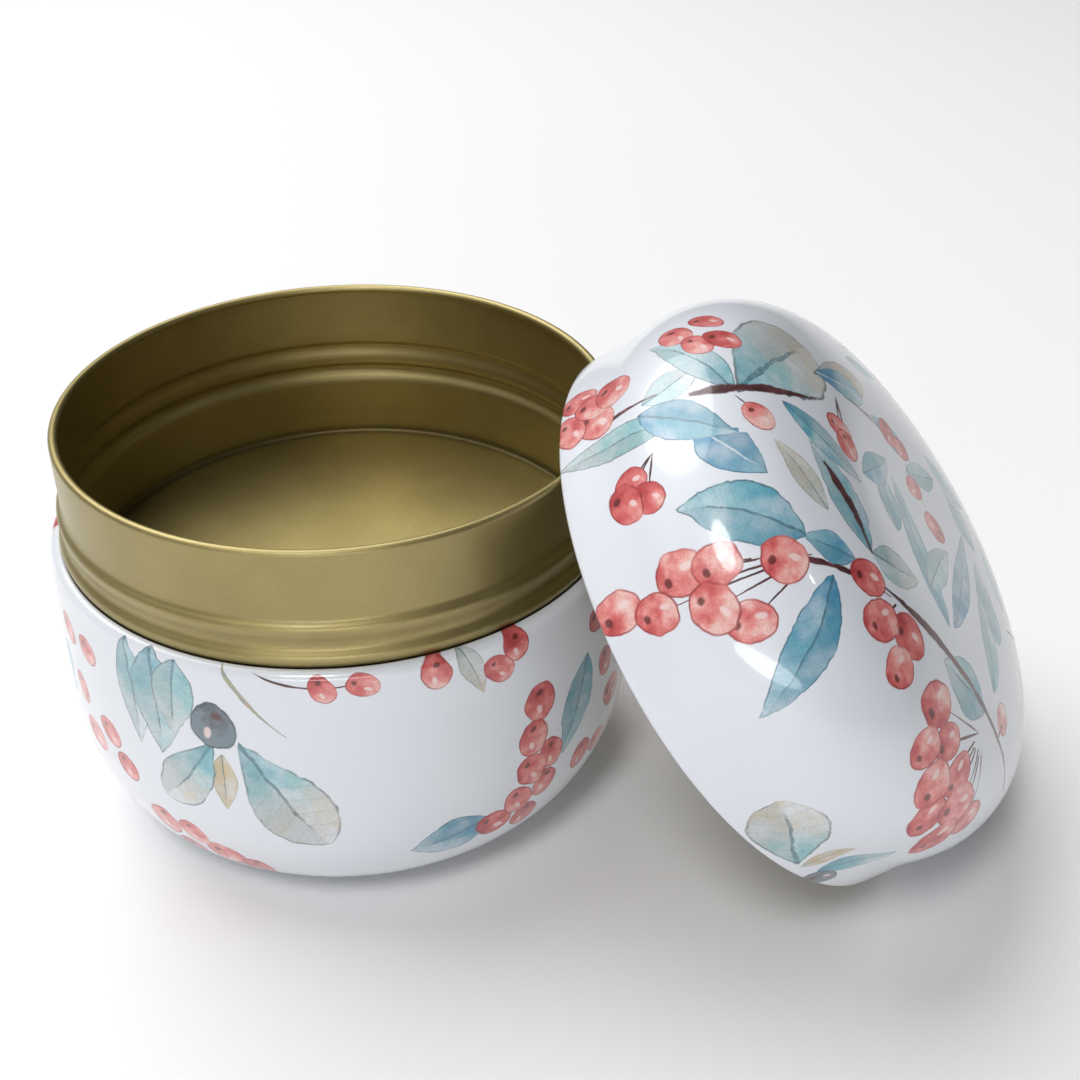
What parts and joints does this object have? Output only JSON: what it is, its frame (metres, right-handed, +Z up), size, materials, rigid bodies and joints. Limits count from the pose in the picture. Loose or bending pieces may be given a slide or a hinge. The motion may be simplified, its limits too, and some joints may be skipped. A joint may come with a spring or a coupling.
{
  "type": "tea caddy",
  "caption": "Round slip-lid tin for tea with a gold-lacquered inner cup and neck in a printed white bowl; its domed lid is off and leans on it.",
  "frame": {"origin": "centre of the base's flat underside, on the surface it stands on, on the axis of the bowl, cup and neck", "axes": "+Z up along the base's axis, +X towards the side on which the lid leans"},
  "size_m": [0.1449, 0.0986, 0.0771],
  "materials": {
    "printed_enamel": "gloss white enamel on tinplate, printed with a watercolour plant pattern outside, gold lacquer inside",
    "gold_lacquer": "satin gold lacquer on tinplate"
  },
  "bodies": {
    "base": {"outer_bowl": "printed_enamel", "inner_cup": "gold_lacquer"},
    "lid": {"lid_shell": "printed_enamel"}
  },
  "joints": [
    {"name": "lid_lift", "type": "slide", "parent": "base", "child": "lid", "axis": [0, 0, 1], "range_m": [0, 0.07]}
  ]
}
